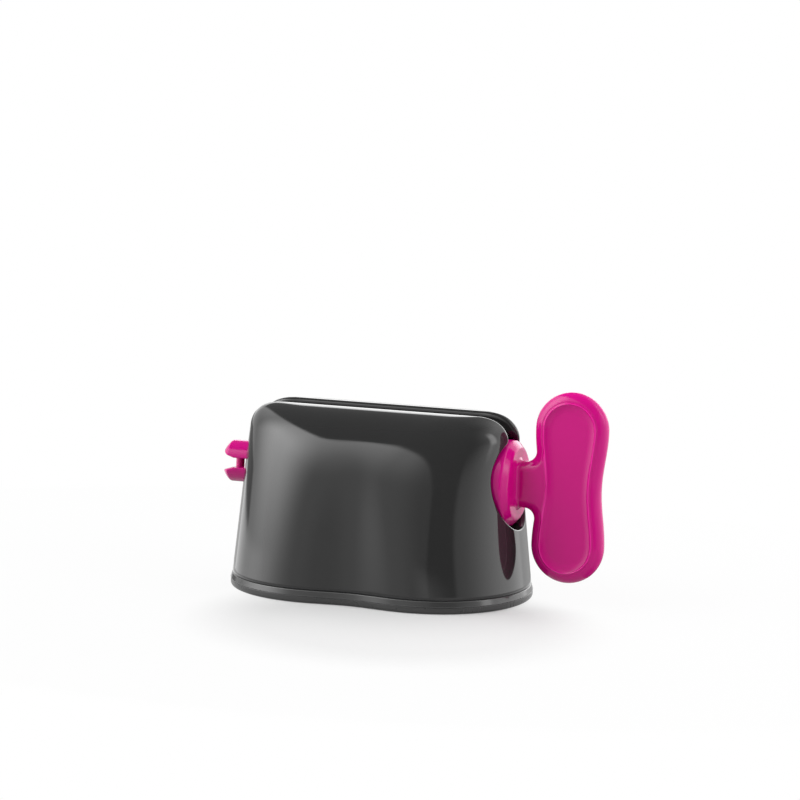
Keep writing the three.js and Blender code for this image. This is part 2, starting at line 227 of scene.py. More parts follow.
def shell_normal(p, q, step=1e-4):
    """Outward normal of the shell: the cross product of its slopes along p and q, by small steps."""
    along = shell_surface(np.clip(p + step, 0, 3), q) - shell_surface(np.clip(p - step, 0, 3), q)
    down = shell_surface(p, np.clip(q + step, 0, 1)) - shell_surface(p, np.clip(q - step, 0, 1))
    return unit(np.cross(along, down))


print("middle of the front, halfway down:", shell_surface(1.5, 0.7).round(2), "mm")

# %% [markdown]
# ### Where the shell is open
# The slit runs over both ends: on the left it ends in the round hole that the rod passes through, on the
# right in the large bore that takes the key's collar. At each level the half-width of the opening is
# known, so each row of points simply starts and stops at the opening's edge, and no cutting is
# needed. Levels are packed closely where a hole begins, because there its edge runs level.

# %% Levels
SLOT_WIDTH = 6.4
LIP_ROUND = 1.1
AXIS_HEIGHT = 28.5
BORE_RADIUS = 11.0
ROD_HOLE_RADIUS = 5.45
EDGE_ROUND = 0.3
LOWER_STEP = 0.9
UPPER_STEP = 0.55
BORE_ROWS = 26
ROD_ROWS = 12
CORNER_ROWS = 30
CLOSEST_ROWS = 0.004
bore_edge = BORE_RADIUS + EDGE_ROUND
rod_edge = ROD_HOLE_RADIUS + EDGE_ROUND
slit_edge = SLOT_WIDTH / 2 + LIP_ROUND


def hole_rows(radius, count):
    """Heights of equally spaced points around the lower quarter of a hole."""
    return AXIS_HEIGHT - radius * np.cos(np.linspace(0, np.pi / 2, count))


corner_q = np.linspace(np.sqrt(CORNER_RADIUS / SHELL_RISE), 0, CORNER_ROWS)
heights = np.concatenate([
    np.arange(SEAM_HEIGHT, AXIS_HEIGHT - bore_edge, LOWER_STEP),
    hole_rows(bore_edge, BORE_ROWS),
    hole_rows(rod_edge, ROD_ROWS),
    np.arange(AXIS_HEIGHT, CORNER_START, UPPER_STEP),
    BODY_HEIGHT - SHELL_RISE * corner_q**2,
])
heights = np.unique(np.round(heights, 6))
heights = heights[np.concatenate([[True], np.diff(heights) > CLOSEST_ROWS])]
level_q = np.sqrt(np.clip((BODY_HEIGHT - heights) / SHELL_RISE, 0, 1))
print(len(heights), "levels, opening at the right from", AXIS_HEIGHT - bore_edge, "mm")

# %% Openings
EASE_SIZE = 0.8
EASE_ABOVE_AXIS = 2
EASE_BELOW_TOP = 3
_, _, _, level_radius, _, level_power = shell_level(level_q)


def opening(hole_radius):
    """Half-width of an opening at each level: the wider of the round hole and the slit, eased into
    each other."""
    hole = np.sqrt(np.clip(hole_radius**2 - (heights - AXIS_HEIGHT) ** 2, 0, None))
    slit = np.where(heights > AXIS_HEIGHT, slit_edge, 0.0)
    from_axis = smooth_step(heights, AXIS_HEIGHT, AXIS_HEIGHT + EASE_ABOVE_AXIS)
    ease = EASE_SIZE * from_axis * smooth_step(BODY_HEIGHT - heights, 0, EASE_BELOW_TOP)
    return (hole + slit + np.sqrt((hole - slit) ** 2 + ease**2)) / 2


def cut_share(width):
    """Share of an end's quarter turn that an opening of that half-width takes away, by level."""
    share = np.clip(width / level_radius, 0, 1) ** (1 / level_power)
    return (np.arcsin(share) / (np.pi / 2))[:, None]


right_cut = cut_share(opening(bore_edge))
left_cut = cut_share(opening(rod_edge))
print("the bore takes at most", right_cut.max().round(2), "of the right end's turn")

# %% [markdown]
# ### Outer and inner skin
# The outer skin is the function on the trimmed grid. The inner skin is the same grid moved inwards by
# the wall, which is what a Solidify modifier would do, but here the edge between the two can be
# given its own shape.

# %% Shell skins
SHELL_WALL = 2.0
END_COLUMNS = 60
SIDE_COLUMNS = 46
end_share = np.linspace(0, 1, END_COLUMNS)[None, :]
right_p = right_cut + (1 - right_cut) * end_share
front_p = np.linspace(1, 2, SIDE_COLUMNS)[None, 1:-1] + 0 * right_cut
left_p = 3 - (left_cut + (1 - left_cut) * end_share)[:, ::-1]
p_grid = np.concatenate([right_p, front_p, left_p], axis=1)
q_grid = level_q[:, None] + 0 * p_grid
outer = shell_surface(p_grid, q_grid)
normals = shell_normal(p_grid, q_grid)
inner = outer - SHELL_WALL * normals
inner[0, :, 2] = SEAM_HEIGHT
print("skins of", p_grid.shape, "points")

# %% [markdown]
# ### Rolled edge
# Between the skins runs a band along the whole edge of the opening. It rolls over with a small radius,
# goes straight in as the slit's inner wall or the bearing's wall, and turns back to the inner skin.
# The roll is what draws the thin white line along the lip. The back half of the shell is the mirror
# image of the front.

# %% Edge of the opening
TOO_SHORT = 1e-7
right_start = int(np.argmax(right_cut[:, 0] > 0)) - 1
left_start = int(np.argmax(left_cut[:, 0] > 0)) - 1


def edge_of(grid):
    """Values along the opening's edge: up the right column, along the top row, down the left one."""
    return np.concatenate([grid[right_start:-1, 0], grid[-1], grid[-2:left_start - 1:-1, -1]])


edge = edge_of(outer)
edge_normal = edge_of(normals)
neighbours = np.concatenate([edge[1:2] * [1, -1, 1], edge, edge[-2:-1] * [1, -1, 1]])
edge_run = neighbours[2:] - neighbours[:-2]
edge_run[np.linalg.norm(edge_run, axis=1) < TOO_SHORT] = [-1, 0, 0]
into = unit(np.cross(unit(edge_run), edge_normal))
print("edge of", len(edge), "points")

# %% Shell mesh
LIP_DEPTH = 5.0
BORE_FLOOR_X = 29.2
SLEEVE_END_X = -28.0
RIGHT_LIP_HEIGHTS = (38.2, 41.2)
LEFT_LIP_HEIGHTS = (32.2, 36.2)
ROLL_STEPS = 6
on_right = edge[:, 0] > 0
right_top = smooth_step(edge[:, 2], *RIGHT_LIP_HEIGHTS)
left_top = smooth_step(edge[:, 2], *LEFT_LIP_HEIGHTS)
at_top = np.where(on_right, right_top, left_top)[:, None]
inwards = unit(-edge_normal * np.concatenate([np.ones_like(at_top), 0 * at_top, at_top], axis=1))
rolled = unit(inwards - dot(inwards, into) * into)
round_size = EDGE_ROUND + (LIP_ROUND - EDGE_ROUND) * at_top
whole_roll = np.arccos(np.clip(dot(inwards, into), -1, 1))
angles = whole_roll * np.linspace(0, 1, ROLL_STEPS + 1)[:, None, None]
roll = edge + round_size * (np.sin(angles) * into + (1 - np.cos(angles)) * rolled)
roll_x = roll[-1, :, 0]
end_depth = np.where(on_right, roll_x - BORE_FLOOR_X, SLEEVE_END_X - roll_x)[:, None]
wall_end = roll[-1] + inwards * (end_depth * (1 - at_top) + (LIP_DEPTH - LIP_ROUND) * at_top)
aside = unit(into - dot(into, inwards) * inwards)
band = np.concatenate([roll, [wall_end, wall_end - SHELL_WALL * aside, edge_of(inner)]])
foot_band = np.stack([inner[0], outer[0]])
front_half = [skin_of(outer), skin_of(inner[:, ::-1]), skin_of(band), skin_of(foot_band)]
shell = piece("shell", front_half + mirrored(front_half))
place(shell, "housing", "housing", "housing_shell")

# %% [markdown]
# ## Turned pieces
# The bearing, the screw posts, the key's collar and its rod are all turned shapes: a profile of radii
# and positions is carried round an axis. Each corner of a profile is replaced by a short arc, because a
# moulding never has a dead sharp edge and the arc is what catches the light.

# %% Turning helpers
TURN_STEPS = 128
ARC_STEPS = 6
HOLD_SHARE = 1.2
HOLD_MOST = 0.08


def softened(corners):
    """A profile of (radius, position, rounding) corners, each cut off at its rounding and bridged by
    a quadratic curve that leaves and arrives along the sides, with a point close to each end of the
    curve that keeps the straight parts straight."""
    values = np.array(corners, float)
    points, sizes = values[:, :2], values[:, 2:]
    before = unit(np.roll(points, 1, axis=0) - points)
    after = unit(np.roll(points, -1, axis=0) - points)
    t = np.linspace(0, 1, ARC_STEPS)[None, :, None]
    start = (points + before * sizes)[:, None]
    stop = (points + after * sizes)[:, None]
    curve = (1 - t) ** 2 * start + 2 * t * (1 - t) * points[:, None] + t**2 * stop
    hold = np.minimum(sizes * HOLD_SHARE, sizes + HOLD_MOST)
    first = (points + before * hold)[:, None]
    last = (points + after * hold)[:, None]
    return np.concatenate([first, curve, last], axis=1).reshape(-1, 2)


def open_softened(corners):
    """As softened, for a profile with two free ends, which stay where they are."""
    curve = softened(corners).reshape(len(corners), -1, 2)
    ends = np.array(corners, float)[[0, -1], :2]
    return np.concatenate([ends[:1], curve[1:-1].reshape(-1, 2), ends[1:]])


def turned(profile, upright=False, closed=False, steps=TURN_STEPS):
    """A (radius, position) profile carried round the X axis, or an upright axis, as one patch."""
    rounds = np.linspace(0, 2 * np.pi, steps, endpoint=False)[None, :]
    radius, position = profile[:, :1], profile[:, 1:] + 0 * rounds
    one, other = radius * np.cos(rounds), radius * np.sin(rounds)
    grid = np.stack([one, other, position] if upright else [position, one, other], axis=-1)
    return skin_of(np.concatenate([grid, grid[:1]]) if closed else grid, wrap=True)


def moved(patch, x, y, z):
    """A patch set down at another place."""
    return patch[0] + [x, y, z], patch[1]


print("a corner becomes", ARC_STEPS + 2, "points")

# %% [markdown]
# ### Bearing ring and screw posts
# Inside the right end a ring closes the bore behind the collar and carries the rod. Four posts under
# the shoulders take the screws of the base. Neither shows much, so plain turned forms do.

# %% Bearing ring and screw posts
BEARING_WALL = 1.8
RING_EDGE = 0.2
POST_RADIUS = 3.2
POST_FOOT = 4.2
POST_TOP = 13.2
POST_X = 25.684
POST_Y = 14.938
POST_STEPS = 32
ring_radius = BORE_RADIUS + BEARING_WALL
ring_back = BORE_FLOOR_X - BEARING_WALL
ring_profile = softened([
    (ROD_HOLE_RADIUS, ring_back, RING_EDGE),
    (ring_radius, ring_back, RING_EDGE),
    (ring_radius, BORE_FLOOR_X, RING_EDGE),
    (ROD_HOLE_RADIUS, BORE_FLOOR_X, RING_EDGE),
])
bearing = piece("bearing_ring", [moved(turned(ring_profile, closed=True), 0, 0, AXIS_HEIGHT)])
place(bearing, "housing", "housing", "housing_shell")

post_profile = np.array([
    (0, POST_FOOT),
    (POST_RADIUS, POST_FOOT),
    (POST_RADIUS, POST_TOP),
    (0, POST_TOP),
])
post = turned(post_profile, upright=True, steps=POST_STEPS)
post_places = [(side * POST_X, depth * POST_Y) for side in (1, -1) for depth in (1, -1)]
posts = piece("screw_posts", [moved(post, x, y, 0) for x, y in post_places])
place(posts, "housing", "housing", "housing_shell")

# %% [markdown]
# ## Base and sole
# Under the shell lies a thin plate with a sloped edge, and under that a rubber sole that stays a hair
# behind it. Both follow the shell's foot, so one outline is offset outwards and inwards and a profile of
# offsets and heights is carried along it. The last steps shrink the outline onto its middle, which
# closes the flat faces.

# %% Along the foot
OUTLINE_STEPS = 240
SHRINK_SHARES = np.array([0.75, 0.5, 0.25, 0.0])[:, None, None]


def foot_outline(offset):
    """The foot's outline moved outwards by an offset, as (steps, 2) points all the way round."""
    p = np.linspace(0, 3, OUTLINE_STEPS // 2 + 1)
    _, reach, end, radius, waist, power = shell_level(np.float64(1))
    x, y = outline(p, reach + offset, end + offset, radius + offset, waist, power)
    front_side = np.stack([x, y], axis=-1)
    return np.concatenate([front_side, front_side[-2:0:-1] * [1, -1]])


def along_foot(profile):
    """A profile of (offset, height) points carried along the foot and closed over the middle."""
    rings = [np.column_stack([foot_outline(offset), np.full(OUTLINE_STEPS, z)]) for offset, z in profile]
    shrunk = SHRINK_SHARES * [1, 1, 0] + [0, 0, 1]
    return skin_of(np.concatenate([rings[0] * shrunk[::-1], rings, rings[-1] * shrunk]), wrap=True)


print("foot outline of", len(foot_outline(0)), "points")

# %% [markdown]
# ### Plate and its edges
# The plate closes the shell from below, and a low rim on it finds the shell's inner wall. Its two
# outer edges show as fine light lines, which are painted highlights: the points close to those
# heights get a lighter colour.

# %% Base plate
FOOT_FLANGE = 0.5
SOLE_HEIGHT = 1.65
PLATE_EDGE = 0.22
PLATE_INSIDE = 6
RIM_INSET = 2.3
RIM_WALL = 1.4
RIM_TOP = 5.5
RIM_FOOT_ROUND = 0.1
RIM_EDGE = 0.2
LID_INSET = 8
LOWER_HIGHLIGHT_HEIGHT = SOLE_HEIGHT + 0.11
UPPER_HIGHLIGHT_HEIGHT = SEAM_HEIGHT - 0.12
HIGHLIGHT_BAND = 0.11
rim_inside = -RIM_INSET - RIM_WALL
plate_profile = open_softened([
    (FOOT_FLANGE - PLATE_INSIDE, SOLE_HEIGHT, 0),
    (FOOT_FLANGE, SOLE_HEIGHT, PLATE_EDGE),
    (0, SEAM_HEIGHT, PLATE_EDGE),
    (-RIM_INSET, SEAM_HEIGHT, RIM_FOOT_ROUND),
    (-RIM_INSET, RIM_TOP, RIM_EDGE),
    (rim_inside, RIM_TOP, RIM_EDGE),
    (rim_inside, SEAM_HEIGHT, RIM_FOOT_ROUND),
    (-LID_INSET, SEAM_HEIGHT, 0),
])
base = piece("base_plate_skin", [along_foot(plate_profile)])
place(base, "housing", "base", "base_plate")
# Painted highlight lines: points near the plate's two edge heights get the lighter edge colour.
plate_height = points_of(base)[:, 2]
off_highlights = np.minimum(abs(plate_height - LOWER_HIGHLIGHT_HEIGHT), abs(plate_height - UPPER_HIGHLIGHT_HEIGHT))
paint_light_and_shade(base, 1 - off_highlights / HIGHLIGHT_BAND)

# %% [markdown]
# ### Sole
# The sole is a flat rubber pad with a well rounded lower edge. Where it meets the table the
# attribute marks a painted contact shade, a dark line instead of a bright one.

# %% Sole
SOLE_STEP = 0.1
SOLE_EDGE = 0.7
SOLE_TOP_EDGE = 0.15
CONTACT_SHADE_HEIGHT = 0.35
CONTACT_SHADE_START = 1.3
sole_side = FOOT_FLANGE - SOLE_STEP
sole_profile = open_softened([
    (sole_side - PLATE_INSIDE, 0, 0),
    (sole_side, 0, SOLE_EDGE),
    (sole_side, SOLE_HEIGHT, SOLE_TOP_EDGE),
    (sole_side - PLATE_INSIDE, SOLE_HEIGHT, 0),
])
sole = piece("sole_skin", [along_foot(sole_profile)])
place(sole, "housing", "sole", "anti_slip_sole")
# Painted contact shade: the lowest points of the sole get the near-black edge colour.
paint_light_and_shade(sole, CONTACT_SHADE_START - points_of(sole)[:, 2] / CONTACT_SHADE_HEIGHT)

# %% [markdown]
# ## Winding key
# The key is one moulding too, with a collar, a flat neck and a grip at one end and a split rod at the
# other. It leans back a little at rest, so its pieces are worked out about its own axis and turned into
# place at the very end.

# %% Key frame
KEY_LEAN = np.radians(-2.9)
KEY_AXIS = np.array([0, 0, AXIS_HEIGHT])
KEY_TURN = np.array([
    [1, 0, 0],
    [0, np.cos(KEY_LEAN), -np.sin(KEY_LEAN)],
    [0, np.sin(KEY_LEAN), np.cos(KEY_LEAN)],
])


def key_piece(name, patches):
    """A piece given about the key's own axis, turned to its lean and lifted to the axis' height, that
    moves with the key."""
    made = piece(name, [(points @ KEY_TURN.T + KEY_AXIS, faces) for points, faces in patches])
    place(made, "key", "key", "winding_key")
    return made


print("key leans by", np.degrees(KEY_LEAN).round(1), "degrees")

# %% [markdown]
# ### Outline of grip and neck
# Grip and neck share one outline, joined by fillets. The grip is two round ends joined by sides that
# are drawn in by a cosine wave. A fillet has to touch such a side, so the height where it does is
# looked up on a fine table instead of being solved for.

# %% Grip sides and fillets
GRIP_X = 47.1
GRIP_WIDTH = 17.9
GRIP_LENGTH = 45.5
GRIP_WAIST = 1.2
NECK_HALF = 5.6
NECK_FILLET = 2.4
PROBES = 4000
grip_radius = GRIP_WIDTH / 2
grip_offset = GRIP_LENGTH / 2 - grip_radius


def grip_side(z):
    """Half-width of the grip at a height: its radius less half a cosine wave that draws the sides in."""
    return grip_radius - GRIP_WAIST * (1 + np.cos(np.pi * z / grip_offset)) / 2


def grip_slope(z):
    """Change of the half-width with height."""
    return GRIP_WAIST * np.pi / (2 * grip_offset) * np.sin(np.pi * z / grip_offset)


probes = np.linspace(NECK_HALF, grip_offset, PROBES)
probe_drop = NECK_FILLET * grip_slope(probes) / np.sqrt(1 + grip_slope(probes) ** 2)
fillet_foot = np.interp(NECK_HALF + NECK_FILLET, probes - probe_drop, probes)
foot_slope = grip_slope(fillet_foot)
fillet_x = GRIP_X - grip_side(fillet_foot) - NECK_FILLET / np.sqrt(1 + foot_slope**2)
fillet_z = NECK_HALF + NECK_FILLET
print("neck fillets meet the grip", round(float(fillet_foot), 2), "mm above and below the axis")

# %% Grip outline
SIDE_POINTS = 14
NECK_POINTS = 27
ROUND_POINTS = 62
upper_heights = np.linspace(grip_offset, fillet_foot, SIDE_POINTS)
neck_heights = np.linspace(fillet_foot, -fillet_foot, NECK_POINTS)
side_heights = np.concatenate([upper_heights[:-1], neck_heights, -upper_heights[::-1][1:]])
around = np.linspace(0, np.pi, ROUND_POINTS)
round_way = np.column_stack([np.cos(around), np.sin(around)])
side_way = unit(np.column_stack([np.ones_like(side_heights), -grip_slope(side_heights)]))
top_arc = np.array([GRIP_X, grip_offset]) + grip_radius * round_way
left_side = np.column_stack([GRIP_X - grip_side(side_heights), side_heights])
right_side = (left_side - [GRIP_X, 0]) * [-1, 1] + [GRIP_X, 0]
grip_loop = np.concatenate([
    top_arc,
    left_side[1:],
    (top_arc[::-1] * [1, -1])[1:],
    right_side[::-1][1:-1],
])
grip_normal = np.concatenate([
    round_way,
    (side_way * [-1, 1])[1:],
    (round_way[::-1] * [1, -1])[1:],
    side_way[::-1][1:-1],
])
print(len(grip_loop), "points around the grip")

# %% Neck outline
NECK_END_X = 35.3
FILLET_POINTS = 14
RUN_POINTS = 10
END_FINE_TURN = 0.4
END_FINE_POINTS = 30
END_POINTS = 14
fillet_turn = np.linspace(np.arctan2(-foot_slope, -1) + np.pi, -np.pi / 2, FILLET_POINTS)
fillet_way = np.column_stack([np.cos(fillet_turn), np.sin(fillet_turn)])
neck_run = np.linspace(fillet_x, NECK_END_X, RUN_POINTS)[1:]
end_turn = np.pi / 2 + np.concatenate([
    np.linspace(0, END_FINE_TURN, END_FINE_POINTS)[1:],
    np.linspace(END_FINE_TURN, np.pi / 2, END_POINTS)[1:],
])
end_way = np.column_stack([np.cos(end_turn), np.sin(end_turn)])
neck_upper = np.concatenate([
    np.array([fillet_x, fillet_z]) + NECK_FILLET * fillet_way,
    np.column_stack([neck_run, np.full_like(neck_run, NECK_HALF)]),
    np.array([NECK_END_X, 0]) + NECK_HALF * end_way,
])
neck_upper_normal = np.concatenate([-fillet_way, np.tile([0.0, 1.0], (len(neck_run), 1)), end_way])
neck_loop = np.concatenate([neck_upper, neck_upper[-2::-1] * [1, -1]])
neck_normal = np.concatenate([neck_upper_normal, neck_upper_normal[-2::-1] * [1, -1]])

upper_count = len(top_arc) + len(upper_heights) - 2
lower_start = upper_count + len(neck_heights)
whole_loop = np.concatenate([grip_loop[:upper_count], neck_loop, grip_loop[lower_start:]])
whole_normal = np.concatenate([grip_normal[:upper_count], neck_normal, grip_normal[lower_start:]])
print(len(whole_loop), "points around grip and neck")

# %% [markdown]
# ### Rim, bead and groove
# The grip has one thickness with a fully rounded edge, so rings of the outline are inset and lifted
# along part of an ellipse on both faces. On the grip the ellipse stops short of level, which leaves a
# crease, and on it sits a fine bead with a groove beside it that catches the light all round. On
# the neck the ellipse runs out level, and the face flares where it meets the collar.

# %% Bead and lift
GRIP_HALF = 2.6
NECK_ROOT = 0.9
COLLAR_FACE_X = 34.5
BEAD_RISE = 0.1
BEAD_WIDTH = 0.17
GROOVE_DEPTH = 0.07
GROOVE_AWAY = 0.38


def lifted(plane, lift):
    """Points (x, z) of the key's plane with a height above it, flared towards the collar by a quarter
    circle, the root fillet."""
    x, z = plane[..., 0], plane[..., 1]
    near = np.clip((COLLAR_FACE_X + NECK_ROOT - x) / NECK_ROOT, 0, 1)
    flare = NECK_ROOT * (1 - np.sqrt(1 - near**2))
    y = -lift * (GRIP_HALF + flare) / GRIP_HALF
    return np.stack(np.broadcast_arrays(x, y, z * (NECK_HALF + flare) / NECK_HALF), axis=-1)


def bead(distance):
    """Height of the fine bead at a distance from the crease: a bell curve."""
    return BEAD_RISE * np.exp(-(distance / BEAD_WIDTH) ** 2)


def bead_and_groove(distance):
    """The bead with a shallower groove beside it, a second bell curve turned downwards."""
    return bead(distance) - GROOVE_DEPTH * np.exp(-((distance - GROOVE_AWAY) / BEAD_WIDTH) ** 2)


print("bead", BEAD_RISE, "mm high, groove", GROOVE_DEPTH, "mm deep")

# %% Rim
CREASE_TURN = np.radians(66)
RIM_FINE_FROM = 0.82
RIM_STEPS = 14
RIM_FINE_STEPS = 15
FILLET_LEAD = 0.3
rim_shares = np.concatenate([
    np.linspace(0, RIM_FINE_FROM, RIM_STEPS),
    np.linspace(RIM_FINE_FROM, 1, RIM_FINE_STEPS)[1:],
])[:, None, None]


def along_loop(grip_value, neck_values):
    """One value for each point of the whole outline: the same on the grip, and given on the neck."""
    upper_values = np.full(upper_count, grip_value)
    lower_values = np.full(len(grip_loop) - lower_start, grip_value)
    return np.concatenate([upper_values, neck_values, lower_values])


leaves_grip = smooth_step(neck_loop[:, 0], fillet_x + FILLET_LEAD, fillet_x + NECK_FILLET)
on_grip = along_loop(1.0, leaves_grip)[:, None]
last_turn = np.pi / 2 + (CREASE_TURN - np.pi / 2) * on_grip
rim_turn = last_turn * rim_shares
inset = GRIP_HALF * (1 - np.cos(rim_turn)) / (1 - np.cos(last_turn))
ellipse_lift = GRIP_HALF * np.sin(rim_turn) / np.sin(last_turn)
neck_inner = neck_loop - GRIP_HALF * neck_normal
past_bead = along_loop(0.0, neck_inner[0, 0] - neck_inner[:, 0])
rim_lift = ellipse_lift[..., 0] + bead_and_groove(np.hypot(GRIP_HALF - inset[..., 0], past_bead))
rim = lifted(whole_loop - inset * whole_normal, rim_lift)
print("rim of", rim.shape[:2], "points")

# %% [markdown]
# ### Panel
# Inside the bead the panel falls away in a parabola to a shallow floor. Its rings close in on the
# grip's middle line, so that the grid follows the outline everywhere and no seam runs over the face.

# %% Panel
PANEL_SINK = 0.5
PANEL_SLOPE = 2.2
CREASE_ROUND = 0.07
SLOPE_STEPS = 22
SLOPE_PACKING = 1.7
PANEL_FLOOR_STEPS = 7
slope_away = PANEL_SLOPE * np.linspace(0, 1, SLOPE_STEPS) ** SLOPE_PACKING
floor_shares = np.linspace(1, 0, PANEL_FLOOR_STEPS)[1:]
crease = grip_loop - GRIP_HALF * grip_normal
spine_z = np.clip(crease[:, 1], -grip_offset, grip_offset)
spine = np.column_stack([np.full(len(crease), GRIP_X), spine_z])
width = np.linalg.norm(crease - spine, axis=1)[:, None]
panel_shares = np.concatenate([
    1 - slope_away[:, None, None] / width,
    (1 - PANEL_SLOPE / width) * floor_shares[:, None, None],
])
past_crease = np.sqrt(slope_away**2 + CREASE_ROUND**2) - CREASE_ROUND
slope_sink = PANEL_SINK * (1 - (1 - past_crease / past_crease[-1]) ** 2) - bead(slope_away)
panel_sink = np.concatenate([slope_sink, np.full(len(floor_shares), PANEL_SINK)])[:, None]
panel = lifted(spine + (crease - spine) * panel_shares, GRIP_HALF - panel_sink)
print("panel of", panel.shape[:2], "points")

# %% [markdown]
# ### Face of the neck
# Between the two inset edges of the neck lies a flat face. Its columns bow towards the grip so that the
# last one is the grip's own crease, and bead and groove run on across it without a break. The crest
# of the bead gets a painted highlight, a paler magenta line.

# %% Grip mesh
neck_inset = neck_inner[:len(neck_upper)][::-1]
across = np.linspace(1, -1, len(neck_heights))[None, :]
neck_crease = crease[upper_count:lower_start]
to_crease = smooth_step(neck_inset[:, :1], fillet_x, neck_inset[-1, 0])
neck_x = neck_inset[:, :1] + to_crease * (neck_crease[:, 0] - neck_crease[0, 0])
neck_plane = np.stack([neck_x, neck_inset[:, 1:] * across], axis=-1)
neck_plane[-1] = neck_crease
neck_face = lifted(neck_plane, GRIP_HALF + bead_and_groove(neck_crease[:, 0] - neck_plane[..., 0]))

grip_front = [skin_of(rim, wrap=True), skin_of(panel, wrap=True), skin_of(neck_face)]
grip = key_piece("key_grip", grip_front + mirrored(grip_front))
flat_points = (points_of(grip) - KEY_AXIS) @ KEY_TURN
bead_highlight = (np.abs(flat_points[:, 1]) - GRIP_HALF) / BEAD_RISE
# Painted highlight: points on the bead's crest, above the face, get the paler magenta edge colour.
paint_light_and_shade(grip, bead_highlight * (flat_points[:, 0] > COLLAR_FACE_X + NECK_ROOT))

# %% [markdown]
# ### Collar and rod
# The collar is a thick disc with a coned front edge that closes the shell's bore. Behind it the rod is
# solid for a short way, up to where it splits. Both are round all the way, so they are turned profiles
# as above, and the rod simply ends inside the collar, where no seam shows.

# %% Collar and rod meshes
COLLAR_RADIUS = 10.3
COLLAR_BACK_X = 29.6
COLLAR_EDGE_X = 32.9
COLLAR_FACE_RADIUS = 8.6
COLLAR_ROUNDS = (0.4, 0.45, 0.55)
ROD_RADIUS = 5.1
ROD_SPLIT_X = 25.5
ROD_INTO_COLLAR = 1
ROD_END_X = COLLAR_BACK_X + ROD_INTO_COLLAR
ROD_ROUNDS = (0.01, 0.3)
ROD_STEPS = 96
collar_profile = open_softened([
    (0, COLLAR_BACK_X, 0),
    (COLLAR_RADIUS, COLLAR_BACK_X, COLLAR_ROUNDS[0]),
    (COLLAR_RADIUS, COLLAR_EDGE_X, COLLAR_ROUNDS[1]),
    (COLLAR_FACE_RADIUS, COLLAR_FACE_X, COLLAR_ROUNDS[2]),
    (0, COLLAR_FACE_X, 0),
])
collar = key_piece("key_collar", [turned(collar_profile)])

rod_profile = open_softened([
    (0, ROD_SPLIT_X, 0),
    (ROD_RADIUS, ROD_SPLIT_X, ROD_ROUNDS[0]),
    (ROD_RADIUS, ROD_END_X, ROD_ROUNDS[1]),
    (0, ROD_END_X, 0),
])
rod = key_piece("key_rod", [turned(rod_profile, steps=ROD_STEPS)])

# %% [markdown]
# ### Prongs and pin
# The rod splits into two prongs, each a segment of the round with softened edges. They narrow to a
# wedge at the free end, where a small pin ties them together. A prong is one cross-section carried
# along the axis while its radius and its flat side change, and the lower prong mirrors the upper one.

# %% Prong sections
TIP_X = -41.1
TIP_RADIUS = 2.5
TIP_TAPER = 2.2
TIP_POWER = 1.5
GAP_HALF = 1.15
NOTCH_START_X = -37.3
NOTCH_HALF = 2.3
PRONG_ROUND = 0.3
PRONG_ROUND_MOST = 0.45
ARC_POINTS = 41
CORNER_POINTS = 7
FLAT_POINTS = 13


def prong_rings(x):
    """Cross-sections of the upper prong at positions x: the round's arc, the flat of the gap, and
    between them small arcs that touch both. Over the tip the radius falls by a power of the way gone,
    and along the notch the flat rises in a straight line."""
    taper = np.clip((TIP_X + TIP_TAPER - x) / TIP_TAPER, 0, 1) ** TIP_POWER
    notch = np.clip((NOTCH_START_X - x) / (NOTCH_START_X - TIP_X), 0, 1)
    radius = (ROD_RADIUS - (ROD_RADIUS - TIP_RADIUS) * taper)[:, None]
    flat = (GAP_HALF + (NOTCH_HALF - GAP_HALF) * notch)[:, None]
    small = np.minimum(PRONG_ROUND, PRONG_ROUND_MOST * (radius - flat))
    low = flat + small
    wide = np.sqrt((radius - small) ** 2 - low**2)
    rim_angle = np.arctan2(low, wide)
    arc = rim_angle + (np.pi - 2 * rim_angle) * np.linspace(0, 1, ARC_POINTS)
    corner = (-np.pi / 2 + (rim_angle + np.pi / 2) * np.linspace(0, 1, CORNER_POINTS))[:, :-1]
    corner_y = wide + small * np.cos(corner)
    corner_z = low + small * np.sin(corner)
    along = np.linspace(-1, 1, FLAT_POINTS)[None, 1:-1]
    y = np.concatenate([corner_y, radius * np.cos(arc), -corner_y[:, ::-1], wide * along], axis=1)
    z = np.concatenate([corner_z, radius * np.sin(arc), corner_z[:, ::-1], flat + 0 * along], axis=1)
    return np.stack([x[:, None] + 0 * y, y, z], axis=-1)


print("a prong's section has", prong_rings(np.zeros(1)).shape[1], "points")

# %% Prongs and pin
NEAR = 0.6
TIP_STATIONS = 22
NOTCH_STATIONS = 7
LONG_STATIONS = 60
LONG_START_X = -36
PIN_RADIUS = 1.05
PIN_HALF = 2
PIN_ROUND = 0.1
PIN_STEPS = 48
stations = np.unique(np.concatenate([
    np.linspace(TIP_X, TIP_X + TIP_TAPER + NEAR, TIP_STATIONS),
    np.linspace(NOTCH_START_X - NEAR, NOTCH_START_X + NEAR, NOTCH_STATIONS),
    np.linspace(LONG_START_X, ROD_SPLIT_X, LONG_STATIONS),
]))
sections = prong_rings(stations)
section_middles = np.repeat(sections.mean(axis=1, keepdims=True), sections.shape[1], axis=1)
upper_prong = skin_of(np.concatenate([section_middles[:1], sections, section_middles[-1:]]), wrap=True)
lower_prong = (upper_prong[0] * [1, 1, -1], upper_prong[1][:, ::-1])
prongs = key_piece("key_prongs", [upper_prong, lower_prong])

pin_profile = open_softened([
    (0, -PIN_HALF, 0),
    (PIN_RADIUS, -PIN_HALF, PIN_ROUND),
    (PIN_RADIUS, PIN_HALF, PIN_ROUND),
    (0, PIN_HALF, 0),
])
upright_pin = turned(pin_profile, upright=True, steps=PIN_STEPS)
pin = key_piece("key_pin", [moved(upright_pin, NOTCH_START_X, 0, 0)])

